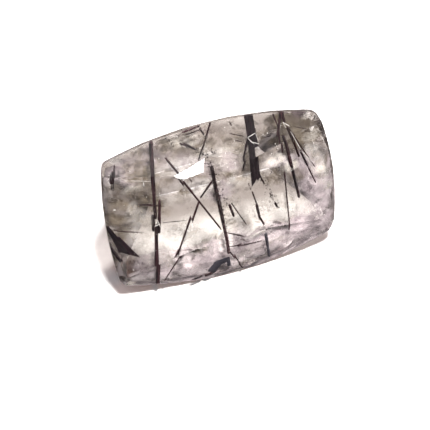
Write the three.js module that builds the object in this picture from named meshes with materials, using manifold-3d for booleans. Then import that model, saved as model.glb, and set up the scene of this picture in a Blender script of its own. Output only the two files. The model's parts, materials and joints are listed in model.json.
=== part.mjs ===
// A polished stone of clear quartz, cut as a long cushion, with black needles grown through it.
// Lengths are in millimetres and angles in degrees.
//
// The stone is described crown up: X runs along it, Y runs to its back, and z = 0 is the middle
// of its girdle, the narrow band around its widest place. Last, it is tipped forward onto the
// broad front facet of its underside, which is how a pointed stone lies on a table.
//
// The clear quartz is parted along the girdle into two halves, so that the needles sealed in it
// can be separate pieces. Each needle lies in a pocket that follows its shape.

import * as THREE from 'three';
import { mergeVertices } from 'three/addons/utils/BufferGeometryUtils.js';
import Module from 'manifold-3d';

const wasm = await Module();
wasm.setup();

// Outline of the girdle, counter-clockwise from the front left corner.
// round is how much of each side the corner takes, bulge is how far the side to the next
// corner swells out of its straight line.
const CORNERS = [
  { at: [-8.90, -4.95], round: 0.40, bulge: 1.35 },
  { at: [8.10, -4.90], round: 0.85, bulge: 0.62 },
  { at: [8.85, 4.95], round: 0.95, bulge: 1.20 },
  { at: [-8.30, 5.20], round: 0.70, bulge: 0.45 },
];
const SIDE_STEPS = 12;
const CORNER_STEPS = 3;
const HALF_LENGTH = 9.10;
const HALF_WIDTH = 6.27;

// Heights and depths
const GIRDLE = 0.35;
const CROWN_HEIGHT = 1.95;
const ROW_HEIGHT = 0.70;
const GIRDLE_TOP = GIRDLE / 2;
const TABLE = GIRDLE_TOP + CROWN_HEIGHT;
const ROW_EDGE = -GIRDLE_TOP - ROW_HEIGHT;
const ROUGH_ABOVE = 5;
const ROUGH_BELOW = 10;

// Slopes of the facets against the girdle's plane
const REST_SLOPE = 42;
const GIRDLE_ROW_SLOPE = 60;
const BACK_SLOPE = 43;
const LEFT_SLOPE = 50;
const RIGHT_SLOPE = 48;

// Clearances
const PARTING_GAP = 0.05;
const POCKET_GAP = 0.05;
const POLISH_SKIN = 0.08;

// Turns a geometry into a solid that can be cut and joined.
function solidOf(geometry) {
  const bare = geometry.clone();
  bare.deleteAttribute('normal');
  bare.deleteAttribute('uv');
  const merged = mergeVertices(bare, 1e-5);
  return new wasm.Manifold(new wasm.Mesh({
    numProp: 3,
    vertProperties: new Float32Array(merged.attributes.position.array),
    triVerts: new Uint32Array(merged.index.array),
  }));
}

// Turns a solid back into a geometry with flat faces.
function geometryOf(solid) {
  const mesh = solid.getMesh();
  const indexed = new THREE.BufferGeometry();
  indexed.setAttribute('position', new THREE.BufferAttribute(mesh.vertProperties, 3));
  indexed.setIndex(new THREE.BufferAttribute(mesh.triVerts, 1));
  const flat = indexed.toNonIndexed();
  flat.computeVertexNormals();
  return flat;
}

// The swelling side from one corner to the next, as a curve.
function sideCurve(index) {
  const corner = CORNERS[index];
  const start = new THREE.Vector2(...corner.at);
  const end = new THREE.Vector2(...CORNERS[(index + 1) % CORNERS.length].at);
  const along = end.clone().sub(start).normalize();
  const outward = new THREE.Vector2(along.y, -along.x);
  const pull = start.clone().add(end).multiplyScalar(0.5).addScaledVector(outward, 2 * corner.bulge);
  return new THREE.QuadraticBezierCurve(start, pull, end);
}

const SIDES = CORNERS.map((corner, index) => sideCurve(index));

// Where a side begins and ends, once its two corners have taken their share.
function sideRange(index) {
  const length = SIDES[index].getLength();
  const next = CORNERS[(index + 1) % CORNERS.length];
  return [CORNERS[index].round / length, 1 - next.round / length];
}

function outlinePoints() {
  const points = [];
  SIDES.forEach((side, index) => {
    const [first, last] = sideRange(index);
    const nextIndex = (index + 1) % SIDES.length;
    for (let step = 0; step <= SIDE_STEPS; step += 1) {
      points.push(side.getPoint(first + ((last - first) * step) / SIDE_STEPS));
    }
    const arrival = side.getPoint(last);
    const departure = SIDES[nextIndex].getPoint(sideRange(nextIndex)[0]);
    const vertex = new THREE.Vector2(...CORNERS[nextIndex].at);
    const turn = new THREE.QuadraticBezierCurve(arrival, vertex, departure);
    for (let step = 1; step < CORNER_STEPS; step += 1) {
      points.push(turn.getPoint(step / CORNER_STEPS));
    }
  });
  return points;
}

// A facet is a plane that the stone is ground down to. azimuth is the way it faces, seen from
// above, with 0 to the right and 90 to the back; slope is its angle against the girdle's plane.
function facet(azimuth, slope, through, side = 1) {
  const turn = THREE.MathUtils.degToRad(azimuth);
  const tilt = THREE.MathUtils.degToRad(slope);
  const level = Math.sin(tilt);
  const normal = new THREE.Vector3(level * Math.cos(turn), level * Math.sin(turn), side * Math.cos(tilt));
  return new THREE.Plane().setFromNormalAndCoplanarPoint(normal, new THREE.Vector3(...through));
}

const crownFacet = (azimuth, slope, through) => facet(azimuth, slope, through, 1);
const pavilionFacet = (azimuth, slope, through) => facet(azimuth, slope, through, -1);

// A crown facet laid through three points
function facetThrough(...corners) {
  const [a, b, c] = corners.map((corner) => new THREE.Vector3(...corner));
  const plane = new THREE.Plane().setFromCoplanarPoints(a, b, c);
  return plane.normal.z < 0 ? plane.negate() : plane;
}

// A facet that follows the outline at a share of one side, raised from a level of the girdle.
function rowFacet(sideIndex, share, slope, level, inset, side) {
  const curve = SIDES[sideIndex];
  const tangent = curve.getTangent(share);
  const outward = new THREE.Vector2(tangent.y, -tangent.x);
  const point = curve.getPoint(share).addScaledVector(outward, -inset);
  const azimuth = THREE.MathUtils.radToDeg(outward.angle());
  return facet(azimuth, slope, [point.x, point.y, level], side);
}

// The table's corners, a place on the facet behind it, and the low points of the star facets along it
const TABLE_BACK_LEFT = [-2.67, 3.04, TABLE];
const BACK_LEFT_EDGE = [-3.08, 3.29, TABLE];
const TABLE_BACK_RIGHT = [3.00, 3.25, TABLE];
const TABLE_BACK = [-0.99, 3.25, TABLE];
const STAR_BACK = [-0.62, 4.23, TABLE - 0.275];
const TABLE_FRONT_LEFT = [-3.00, -2.70, TABLE];
const TABLE_FRONT_RIGHT = [2.93, -2.60, TABLE];
const TABLE_FRONT = [0.20, -3.00, TABLE];
const STAR_FRONT = [0.20, -3.55, TABLE - 0.22];

const CROWN = [
  crownFacet(0, 0, TABLE_BACK_LEFT),
  crownFacet(102, 34, BACK_LEFT_EDGE),
  crownFacet(80, 34, TABLE_BACK_RIGHT),
  crownFacet(260, 30, TABLE_FRONT_LEFT),
  crownFacet(282, 30, TABLE_FRONT_RIGHT),
  crownFacet(180, 13.9, TABLE_BACK_LEFT),
  crownFacet(0, 12.8, TABLE_FRONT_RIGHT),
  facetThrough(TABLE_BACK_LEFT, TABLE_BACK, STAR_BACK),
  facetThrough(TABLE_BACK_RIGHT, TABLE_BACK, STAR_BACK),
  facetThrough(TABLE_FRONT_LEFT, TABLE_FRONT, STAR_FRONT),
  facetThrough(TABLE_FRONT_RIGHT, TABLE_FRONT, STAR_FRONT),
  rowFacet(0, 0.50, 38, GIRDLE_TOP, 0, 1),
  rowFacet(1, 0.32, 34, GIRDLE_TOP, 0, 1),
  rowFacet(1, 0.72, 34, GIRDLE_TOP, 0, 1),
  rowFacet(2, 0.48, 41, GIRDLE_TOP, 0, 1),
  rowFacet(3, 0.50, 36, GIRDLE_TOP, 0, 1),
  crownFacet(38, 38, [8.75, 4.70, GIRDLE_TOP]),
  crownFacet(132, 40, [-8.15, 5.00, GIRDLE_TOP]),
  crownFacet(212, 40, [-8.85, -4.70, GIRDLE_TOP]),
  crownFacet(322, 38, [7.95, -4.75, GIRDLE_TOP]),
];

// Underside: a steep row below the girdle, then the broad facets that meet in a keel along X
const ROW_INSET = ROW_HEIGHT / Math.tan(THREE.MathUtils.degToRad(GIRDLE_ROW_SLOPE));
const LONG_ROW = [0.10, 0.30, 0.50, 0.70, 0.90];
const SHORT_ROW = [0.20, 0.50, 0.80];
const rowShares = (sideIndex) => (sideIndex % 2 === 0 ? LONG_ROW : SHORT_ROW);

const PAVILION = [
  ...SIDES.flatMap((side, index) => rowShares(index).map(
    (share) => rowFacet(index, share, GIRDLE_ROW_SLOPE, -GIRDLE_TOP, 0, -1),
  )),
  pavilionFacet(270, REST_SLOPE, [0, -HALF_WIDTH + ROW_INSET, ROW_EDGE]),
  rowFacet(0, 0.16, 44.5, ROW_EDGE, ROW_INSET, -1),
  rowFacet(0, 0.84, 44.5, ROW_EDGE, ROW_INSET, -1),
  rowFacet(2, 0.50, BACK_SLOPE, ROW_EDGE, ROW_INSET, -1),
  rowFacet(2, 0.16, 45.5, ROW_EDGE, ROW_INSET, -1),
  rowFacet(2, 0.84, 45.5, ROW_EDGE, ROW_INSET, -1),
  rowFacet(1, 0.50, RIGHT_SLOPE, ROW_EDGE, ROW_INSET, -1),
  rowFacet(3, 0.50, LEFT_SLOPE, ROW_EDGE, ROW_INSET, -1),
  pavilionFacet(35, 48, [8.40, 4.45, ROW_EDGE]),
  pavilionFacet(140, 49, [-7.95, 4.75, ROW_EDGE]),
  pavilionFacet(220, 49, [-8.45, -4.50, ROW_EDGE]),
  pavilionFacet(318, 48, [7.65, -4.45, ROW_EDGE]),
];

const FAR = 60;

// The block that one grinding takes away
function groundAway(plane, inset) {
  const block = new THREE.BoxGeometry(FAR, FAR, FAR);
  block.translate(0, 0, FAR / 2);
  const turn = new THREE.Quaternion().setFromUnitVectors(new THREE.Vector3(0, 0, 1), plane.normal);
  const onPlane = plane.normal.clone().multiplyScalar(-plane.constant - inset);
  block.applyMatrix4(new THREE.Matrix4().compose(onPlane, turn, new THREE.Vector3(1, 1, 1)));
  return solidOf(block);
}

// The whole stone, or one that lies a little inside its polish.
function stoneSolid(inset = 0) {
  const points = outlinePoints().map((point) => new THREE.Vector2(
    point.x * (1 - inset / HALF_LENGTH),
    point.y * (1 - inset / HALF_WIDTH),
  ));
  const depth = ROUGH_ABOVE + ROUGH_BELOW;
  const rough = new THREE.ExtrudeGeometry(new THREE.Shape(points), { depth, bevelEnabled: false });
  rough.translate(0, 0, -ROUGH_BELOW);
  return [...CROWN, ...PAVILION].reduce(
    (stone, plane) => stone.subtract(groundAway(plane, inset)),
    solidOf(rough),
  );
}

// Shares of a crystal's length, and how thick it is there: it swells and thins as it grew.
const THICK_RINGS = [
  [0, 0.80], [0.02, 1], [0.30, 0.94], [0.315, 1.08], [0.64, 0.98], [0.655, 0.86],
  [0.97, 0.84], [1, 0.50],
];
const NEEDLE_RINGS = [[0, 0.70], [0.04, 1], [0.46, 1.04], [0.49, 0.88], [0.95, 0.84], [1, 0.40]];
const HAIR_RINGS = [[0, 0.50], [0.45, 1], [1, 0.35]];
const BLADE_RINGS = [[0, 0.92], [0.03, 1], [0.50, 0.96], [0.52, 1.03], [1, 0.97]];
const WEDGE_RINGS = [[0, 0.34], [0.40, 0.58], [0.42, 0.64], [1, 1]];
const STUB_RINGS = [[0, 0.80], [0.12, 1], [0.85, 0.92], [1, 0.65]];
const CRYSTAL_SIDES = 6;

// One crystal: a six-sided bar between two points, with a ring of corners at each share.
// slant leans its last ring, so that it ends in a chisel edge: positive makes its left side, seen
// from its start, the shorter one. grow makes it larger all round, for the pocket that it lies in.
function crystalSolid(crystal, grow = 0) {
  const { from, to, width, rings = NEEDLE_RINGS, slant = 0 } = crystal;
  const { thick = width * 0.85 } = crystal;
  const start = new THREE.Vector3(...from);
  const axis = new THREE.Vector3(...to).sub(start);
  const length = axis.length();
  axis.normalize();
  const across = new THREE.Vector3(0, 0, 1).cross(axis).normalize();
  const upward = axis.clone().cross(across);
  const positions = [];
  const indices = [];
  rings.forEach(([share, swell], ring) => {
    const isLast = ring === rings.length - 1;
    const overrun = ring === 0 ? -grow : grow * isLast;
    for (let side = 0; side < CRYSTAL_SIDES; side += 1) {
      const angle = ((side + 0.5) / CRYSTAL_SIDES) * 2 * Math.PI;
      const outwards = Math.cos(angle) * ((width / 2) * swell + grow);
      const upwards = Math.sin(angle) * ((thick / 2) * swell + grow);
      const along = share * length + overrun + slant * outwards * isLast;
      const corner = start.clone()
        .addScaledVector(axis, along)
        .addScaledVector(across, outwards)
        .addScaledVector(upward, upwards);
      positions.push(corner.x, corner.y, corner.z);
    }
  });
  const corner = (ring, side) => ring * CRYSTAL_SIDES + (side % CRYSTAL_SIDES);
  for (let ring = 0; ring < rings.length - 1; ring += 1) {
    for (let side = 0; side < CRYSTAL_SIDES; side += 1) {
      indices.push(corner(ring, side), corner(ring, side + 1), corner(ring + 1, side + 1));
      indices.push(corner(ring, side), corner(ring + 1, side + 1), corner(ring + 1, side));
    }
  }
  for (let side = 1; side < CRYSTAL_SIDES - 1; side += 1) {
    indices.push(corner(0, 0), corner(0, side + 1), corner(0, side));
    indices.push(corner(rings.length - 1, 0), corner(rings.length - 1, side), corner(rings.length - 1, side + 1));
  }
  const geometry = new THREE.BufferGeometry();
  geometry.setAttribute('position', new THREE.Float32BufferAttribute(positions, 3));
  geometry.setIndex(indices);
  return solidOf(geometry);
}

const joined = (crystals, grow) => crystals
  .map((crystal) => crystalSolid(crystal, grow))
  .reduce((whole, crystal) => whole.add(crystal));

const BLACK = 0x15110e;
const BROWN = 0x4b2a1a;
const GREY = 0x5a5a63;
const CLEAR = 0xb9ada1;
const CLEAR_ROUGHNESS = 0.04;
const NEEDLE_ROUGHNESS = 0.35;

// The needles, by name. Those whose start lies past the outline reach the polished surface.
// Crystals that grow out of one another are one piece.
const NEEDLES = {
  long_left_needle_upper: { colour: BLACK, crystals: [
    { from: [-4.15, 6.50, 0.12], to: [-5.01, -0.24, -0.45], width: 0.35, rings: THICK_RINGS },
    { from: [-5.18, 0.14, -0.42], to: [-5.38, -1.23, -0.50], width: 0.32, rings: STUB_RINGS },
  ] },
  long_left_needle_lower: { colour: BLACK, crystals: [
    { from: [-6.30, -6.45, -0.16], to: [-5.15, -0.50, 0.15], width: 0.36, rings: THICK_RINGS },
    { from: [-5.10, -1.32, 0.11], to: [-4.49, 1.44, 0.35], width: 0.28 },
  ] },
  left_end_needle: { colour: BLACK, crystals: [
    { from: [-7.57, 4.30, 0.05], to: [-7.74, 3.45, -0.10], width: 0.24, rings: STUB_RINGS },
    { from: [-7.34, 4.93, 0.20], to: [-7.78, 2.86, -0.25], width: 0.11 },
  ] },
  thin_back_needle: { colour: BLACK, crystals: [
    { from: [0.75, 6.60, 0.10], to: [-0.86, 2.95, -0.60], width: 0.15 },
  ] },
  diagonal_needle: { colour: BLACK, crystals: [
    { from: [-3.44, 4.55, 0.70], to: [-0.45, -2.37, -0.35], width: 0.19 },
  ] },
  cross_needle_upper: { colour: BLACK, crystals: [
    { from: [-0.38, 1.86, 0.25], to: [-1.50, 0.62, -0.35], width: 0.18 },
  ] },
  cross_needle_lower: { colour: BLACK, crystals: [
    { from: [-1.61, 0.42, -0.45], to: [-4.00, -3.47, -0.10], width: 0.18 },
    { from: [-3.80, -3.02, -0.08], to: [-5.59, -5.43, 0.10], width: 0.14 },
  ] },
  central_needle: { colour: BLACK, crystals: [
    { from: [-0.14, 2.59, -0.50], to: [-0.25, -4.13, 0.20], width: 0.34, rings: THICK_RINGS },
    { from: [-0.23, -3.58, 0.15], to: [0.59, -6.11, 0.00], width: 0.14 },
    { from: [-0.20, -2.60, 0.02], to: [1.20, -3.41, -0.15], width: 0.12, rings: HAIR_RINGS },
    { from: [-0.20, -3.52, 0.12], to: [2.52, -3.77, -0.10], width: 0.12, rings: HAIR_RINGS },
  ] },
  short_dark_needle: { colour: BLACK, crystals: [
    { from: [0.54, -0.39, 0.15], to: [0.71, -1.54, -0.15], width: 0.24, rings: STUB_RINGS },
  ] },
  short_fine_needle: { colour: BLACK, crystals: [
    { from: [0.74, -0.41, -0.25], to: [1.50, -2.37, 0.15], width: 0.11 },
  ] },
  black_blade: { colour: BLACK, crystals: [
    { from: [3.56, 6.50, 0.11], to: [3.34, 3.05, -0.30], width: 0.82, thick: 0.36, rings: BLADE_RINGS },
    { from: [3.22, 3.75, -0.22], to: [2.88, 0.68, -0.67], width: 0.58, thick: 0.34, rings: BLADE_RINGS, slant: -1.40 },
    { from: [3.12, 4.10, -0.19], to: [2.15, 1.88, -0.40], width: 0.18 },
    { from: [3.05, 1.45, -0.60], to: [3.37, 0.30, -0.60], width: 0.17 },
  ] },
  broken_needle_upper: { colour: BLACK, crystals: [
    { from: [2.48, 0.17, 0.15], to: [2.67, -1.28, 0.05], width: 0.14 },
    { from: [2.61, -0.97, 0.04], to: [2.63, -2.31, -0.05], width: 0.25, rings: STUB_RINGS },
    { from: [2.66, -2.15, -0.06], to: [2.86, -2.83, -0.12], width: 0.20, rings: STUB_RINGS },
  ] },
  broken_needle_lower: { colour: GREY, crystals: [
    { from: [2.74, -3.13, 0.12], to: [2.76, -5.72, -0.12], width: 0.28 },
  ] },
  right_fan_root: { colour: BLACK, crystals: [
    { from: [6.20, 6.05, 0.10], to: [5.90, 4.95, 0.02], width: 0.44, rings: STUB_RINGS },
    { from: [6.12, 5.80, 0.10], to: [5.30, 3.51, -0.10], width: 0.24 },
    { from: [6.10, 5.63, 0.10], to: [6.11, 4.62, 0.08], width: 0.26, rings: STUB_RINGS },
    { from: [5.40, 5.60, 0.05], to: [5.56, 4.30, -0.05], width: 0.15 },
    { from: [5.52, 4.28, -0.06], to: [4.62, -3.68, -0.35], width: 0.16 },
  ] },
  right_thick_needle: { colour: BLACK, crystals: [
    { from: [5.73, 3.73, 0.42], to: [5.86, -1.52, -0.15], width: 0.30, rings: THICK_RINGS },
  ] },
  brown_fan_needles: { colour: BROWN, crystals: [
    { from: [6.22, 4.25, 0.20], to: [6.55, 1.74, -0.10], width: 0.23 },
    { from: [6.25, 4.21, 0.20], to: [7.60, 0.60, -0.10], width: 0.14 },
  ] },
  right_end_needle: { colour: BLACK, crystals: [
    { from: [6.73, 2.34, 0.28], to: [7.14, 0.56, 0.00], width: 0.20, rings: STUB_RINGS },
    { from: [7.09, 0.70, 0.01], to: [7.41, -0.72, -0.15], width: 0.14 },
  ] },
  left_black_crystal: { colour: BLACK, crystals: [
    { from: [-8.95, 0.05, 0.06], to: [-7.64, -2.60, -0.20], width: 1.06, thick: 0.42, rings: WEDGE_RINGS, slant: 1.45 },
  ] },
  left_dark_stub: { colour: BLACK, crystals: [
    { from: [-9.15, -1.50, 0.02], to: [-8.39, -3.00, -0.10], width: 0.36, rings: STUB_RINGS },
  ] },
  front_edge_crystal: { colour: GREY, crystals: [
    { from: [-1.92, -5.64, -0.06], to: [-1.00, -4.68, -0.10], width: 0.76, thick: 0.34, rings: STUB_RINGS },
    { from: [-1.50, -4.92, -0.10], to: [-0.30, -4.62, -0.10], width: 0.62, thick: 0.30, rings: STUB_RINGS },
    { from: [-0.36, -4.45, -0.12], to: [-0.40, -5.42, -0.08], width: 0.36, thick: 0.26, rings: STUB_RINGS },
  ] },
  front_edge_grain: { colour: BLACK, crystals: [
    { from: [-2.42, -5.88, -0.02], to: [-1.84, -5.76, -0.02], width: 0.34, rings: STUB_RINGS },
  ] },
  front_edge_splinter: { colour: BLACK, crystals: [
    { from: [-3.66, -6.10, 0.00], to: [-2.62, -5.84, 0.00], width: 0.24 },
  ] },
  dusty_needle: { colour: BLACK, crystals: [
    { from: [-2.10, 5.28, 0.35], to: [-0.86, 4.12, -0.10], width: 0.14 },
  ] },
  back_edge_needle: { colour: BLACK, crystals: [
    { from: [-1.74, 5.98, 0.08], to: [-0.30, 6.06, -0.08], width: 0.17 },
  ] },
  crossing_hair_needle: { colour: BLACK, crystals: [
    { from: [-6.09, 1.30, 0.00], to: [-4.19, 0.74, 0.00], width: 0.12, rings: HAIR_RINGS },
  ] },
  bright_hair_needle: { colour: BLACK, crystals: [
    { from: [-4.60, -0.56, 0.06], to: [-2.72, -0.83, -0.04], width: 0.08, rings: HAIR_RINGS },
  ] },
  left_hair_needle: { colour: BLACK, crystals: [
    { from: [-8.40, -0.24, 0.10], to: [-7.96, -0.53, 0.05], width: 0.09, rings: HAIR_RINGS },
    { from: [-8.12, -0.44, 0.07], to: [-6.22, -1.05, -0.04], width: 0.10, rings: HAIR_RINGS },
  ] },
  small_right_grain: { colour: BLACK, crystals: [
    { from: [3.88, -1.28, 0.04], to: [3.99, -1.74, -0.04], width: 0.19, rings: STUB_RINGS },
  ] },
};

const stone = stoneSolid();
const underPolish = stoneSolid(POLISH_SKIN);

function pieceMesh(name, solid, colour, roughness) {
  const material = new THREE.MeshStandardMaterial({ color: colour, roughness });
  const mesh = new THREE.Mesh(geometryOf(solid), material);
  mesh.name = name;
  return mesh;
}

// The two halves of clear quartz, each with its share of the needles' pockets
function quartzHalves() {
  const crystals = Object.values(NEEDLES).flatMap((needle) => needle.crystals);
  const hollow = stone.subtract(joined(crystals, POCKET_GAP));
  const above = new THREE.Plane(new THREE.Vector3(0, 0, 1), PARTING_GAP / 2);
  const below = new THREE.Plane(new THREE.Vector3(0, 0, -1), PARTING_GAP / 2);
  return [
    pieceMesh('quartz_crown_half', hollow.subtract(groundAway(below, 0)), CLEAR, CLEAR_ROUGHNESS),
    pieceMesh('quartz_pavilion_half', hollow.subtract(groundAway(above, 0)), CLEAR, CLEAR_ROUGHNESS),
  ];
}

function needleMeshes() {
  return Object.entries(NEEDLES).map(([name, needle]) => pieceMesh(
    name,
    joined(needle.crystals, 0).intersect(underPolish),
    needle.colour,
    NEEDLE_ROUGHNESS,
  ));
}

// Tipped onto its front facet, then set with the middle of its box over the origin
const tipped = new THREE.Group();
tipped.add(...quartzHalves(), ...needleMeshes());
tipped.rotation.x = THREE.MathUtils.degToRad(REST_SLOPE);
tipped.updateMatrixWorld(true);

const box = new THREE.Box3().setFromObject(tipped, true);
const centre = box.getCenter(new THREE.Vector3());
tipped.position.set(-centre.x, -centre.y, -box.min.z);

const group = new THREE.Group();
group.add(tipped);

export default group;
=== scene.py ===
# %% [markdown]
# A cut stone: clear quartz with black needles
#
# The object is one polished stone, a long cushion of faintly smoky quartz. Black needles of another
# mineral grew through the crystal long before it was cut, and thin healed cracks hang in it like
# veils. It lies on one facet of its pointed underside, on white paper. The model is made the way
# the stone was: an outline is pushed up into a block, and flat facets are cut from it one by one.

# %% Setup
import bpy
import json
import random
from math import cos, pi, radians, sin, tan
from mathutils import Matrix, Vector, noise


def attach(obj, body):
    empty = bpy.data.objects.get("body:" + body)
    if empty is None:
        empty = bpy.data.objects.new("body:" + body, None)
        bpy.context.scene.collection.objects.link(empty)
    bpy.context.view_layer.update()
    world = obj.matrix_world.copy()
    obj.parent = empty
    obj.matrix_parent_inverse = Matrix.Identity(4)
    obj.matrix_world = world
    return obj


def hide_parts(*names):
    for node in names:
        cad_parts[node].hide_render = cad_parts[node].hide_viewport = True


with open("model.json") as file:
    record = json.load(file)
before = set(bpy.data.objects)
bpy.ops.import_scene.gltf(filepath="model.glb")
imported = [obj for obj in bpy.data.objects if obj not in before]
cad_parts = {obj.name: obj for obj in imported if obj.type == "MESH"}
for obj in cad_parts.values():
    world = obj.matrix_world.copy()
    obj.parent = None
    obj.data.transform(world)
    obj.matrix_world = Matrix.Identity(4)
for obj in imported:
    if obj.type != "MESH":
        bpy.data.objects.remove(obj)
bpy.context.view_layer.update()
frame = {"nodes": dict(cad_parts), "record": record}

MM = 0.001
random.seed(7)
print("nodes in the frame:", len(frame["nodes"]))


def deselect():
    """Nothing stays selected, so that an operator acts only on what is picked next."""
    if bpy.context.object and bpy.context.object.mode != "OBJECT":
        bpy.ops.object.mode_set(mode="OBJECT")
    bpy.ops.object.select_all(action="DESELECT")


def pick(*things):
    deselect()
    for thing in things:
        thing.select_set(True)
    bpy.context.view_layer.objects.active = things[0]


# %% [markdown]
# The stone is described crown up, with X along it and z = 0 at the middle of its girdle, the
# widest place. On the table it lies tipped forward onto a facet, so one turn and one shift carry
# everything in the stone from the cutter's frame to the table. The shift is found later, when the
# stone has been cut and its lowest facet is known.

# %% The cutter's frame
REST_SLOPE = 42.0
TIP = Matrix.Rotation(radians(REST_SLOPE), 4, "X")

CORNERS = [  # place, share taken by the corner, swell of the side that follows it, in mm
    ((-8.90, -4.95), 0.40, 1.35),
    ((8.10, -4.90), 0.85, 0.62),
    ((8.85, 4.95), 0.95, 1.20),
    ((-8.30, 5.20), 0.70, 0.45),
]
SIDE_STEPS = 12
CORNER_STEPS = 3
HALF_WIDTH = 6.27


def bent(a, pull, b, t):
    """A point of the quadratic curve from a to b that pull draws outwards."""
    return a * (1 - t) ** 2 + pull * 2 * t * (1 - t) + b * t ** 2


def side_curve(index):
    (start, _, swell), (end, _, _) = CORNERS[index], CORNERS[(index + 1) % 4]
    a, b = Vector(start), Vector(end)
    along = (b - a).normalized()
    outward = Vector((along.y, -along.x))
    return a, (a + b) / 2 + outward * 2 * swell, b


def curve_length(curve, steps=200):
    points = [bent(*curve, i / steps) for i in range(steps + 1)]
    return sum((q - p).length for p, q in zip(points, points[1:]))


SIDES = [side_curve(i) for i in range(4)]


def side_range(index):
    length = curve_length(SIDES[index])
    return CORNERS[index][1] / length, 1 - CORNERS[(index + 1) % 4][1] / length


def outline():
    points = []
    for i, curve in enumerate(SIDES):
        first, last = side_range(i)
        points += [bent(*curve, first + (last - first) * step / SIDE_STEPS)
                   for step in range(SIDE_STEPS + 1)]
        following = (i + 1) % 4
        next_start = bent(*SIDES[following], side_range(following)[0])
        corner = points[-1], Vector(CORNERS[following][0]), next_start
        points += [bent(*corner, step / CORNER_STEPS) for step in range(1, CORNER_STEPS)]
    return points


OUTLINE = outline()
print("outline points:", len(OUTLINE))

# %% [markdown]
# A facet is a plane: it faces an azimuth, has a slope against the girdle, and passes through one
# point. Rows of facets follow the outline, so their azimuth is read from the curve.

# %% The facets
GIRDLE_TOP = 0.175
CROWN_HEIGHT = 1.95
ROW_HEIGHT = 0.70
ROW_SLOPE = 60.0
TABLE = GIRDLE_TOP + CROWN_HEIGHT
ROW_EDGE = -GIRDLE_TOP - ROW_HEIGHT
ROW_INSET = ROW_HEIGHT / tan(radians(ROW_SLOPE))


def facet(azimuth, slope, point, side=1):
    a, s = radians(azimuth), radians(slope)
    return Vector((sin(s) * cos(a), sin(s) * sin(a), side * cos(s))), Vector(point)


def facet_through(a, b, c):
    normal = (Vector(b) - Vector(a)).cross(Vector(c) - Vector(a)).normalized()
    return (normal if normal.z > 0 else -normal), Vector(a)


def row_facet(index, share, slope, level, inset, side):
    a, pull, b = SIDES[index]
    tangent = ((pull - a) * (1 - share) + (b - pull) * share).normalized()
    outward = Vector((tangent.y, -tangent.x))
    point = bent(a, pull, b, share) - outward * inset
    s = radians(slope)
    normal = Vector((outward.x * sin(s), outward.y * sin(s), side * cos(s)))
    return normal, Vector((point.x, point.y, level))


BACK_LEFT, BACK, BACK_RIGHT = (-2.67, 3.04, TABLE), (-0.99, 3.25, TABLE), (3.00, 3.25, TABLE)
BACK_LEFT_EDGE = (-3.08, 3.29, TABLE)
FRONT_LEFT, FRONT, FRONT_RIGHT = (-3.00, -2.70, TABLE), (0.20, -3.00, TABLE), (2.93, -2.60, TABLE)
STAR_BACK, STAR_FRONT = (-0.62, 4.23, TABLE - 0.275), (0.20, -3.55, TABLE - 0.22)

CROWN = [
    facet(0, 0, BACK_LEFT),
    facet(102, 34, BACK_LEFT_EDGE), facet(80, 34, BACK_RIGHT),
    facet(260, 30, FRONT_LEFT), facet(282, 30, FRONT_RIGHT),
    facet(180, 13.9, BACK_LEFT), facet(0, 12.8, FRONT_RIGHT),
    facet_through(BACK_LEFT, BACK, STAR_BACK), facet_through(BACK_RIGHT, BACK, STAR_BACK),
    facet_through(FRONT_LEFT, FRONT, STAR_FRONT), facet_through(FRONT_RIGHT, FRONT, STAR_FRONT),
    row_facet(0, 0.50, 38, GIRDLE_TOP, 0, 1),
    row_facet(1, 0.32, 34, GIRDLE_TOP, 0, 1), row_facet(1, 0.72, 34, GIRDLE_TOP, 0, 1),
    row_facet(2, 0.48, 41, GIRDLE_TOP, 0, 1), row_facet(3, 0.50, 36, GIRDLE_TOP, 0, 1),
    facet(38, 38, (8.75, 4.70, GIRDLE_TOP)), facet(132, 40, (-8.15, 5.00, GIRDLE_TOP)),
    facet(212, 40, (-8.85, -4.70, GIRDLE_TOP)), facet(322, 38, (7.95, -4.75, GIRDLE_TOP)),
]
LONG_ROW, SHORT_ROW = (0.10, 0.30, 0.50, 0.70, 0.90), (0.20, 0.50, 0.80)
PAVILION = [
    row_facet(i, share, ROW_SLOPE, -GIRDLE_TOP, 0, -1)
    for i in range(4) for share in (SHORT_ROW if i % 2 else LONG_ROW)
] + [
    facet(270, REST_SLOPE, (0, -HALF_WIDTH + ROW_INSET, ROW_EDGE), -1),
] + [
    row_facet(side, share, slope, ROW_EDGE, ROW_INSET, -1)
    for side, share, slope in (
        (0, 0.16, 44.5), (0, 0.84, 44.5), (2, 0.50, 43), (2, 0.16, 45.5), (2, 0.84, 45.5),
        (1, 0.50, 48), (3, 0.50, 50))
] + [
    facet(35, 48, (8.40, 4.45, ROW_EDGE), -1), facet(140, 49, (-7.95, 4.75, ROW_EDGE), -1),
    facet(220, 49, (-8.45, -4.50, ROW_EDGE), -1), facet(318, 48, (7.65, -4.45, ROW_EDGE), -1),
]
print("facets to cut:", len(CROWN), "above the girdle and", len(PAVILION), "below it")

# %% [markdown]
# The rough block is a circle primitive whose corners are laid on the outline, filled and
# extruded. Each facet is one bisect that throws away what lies outside its plane and closes the
# cut, which is just what the grinding wheel does.

# %% Cutting the stone
ROUGH_ABOVE, ROUGH_BELOW = 5.0, 10.0


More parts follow.
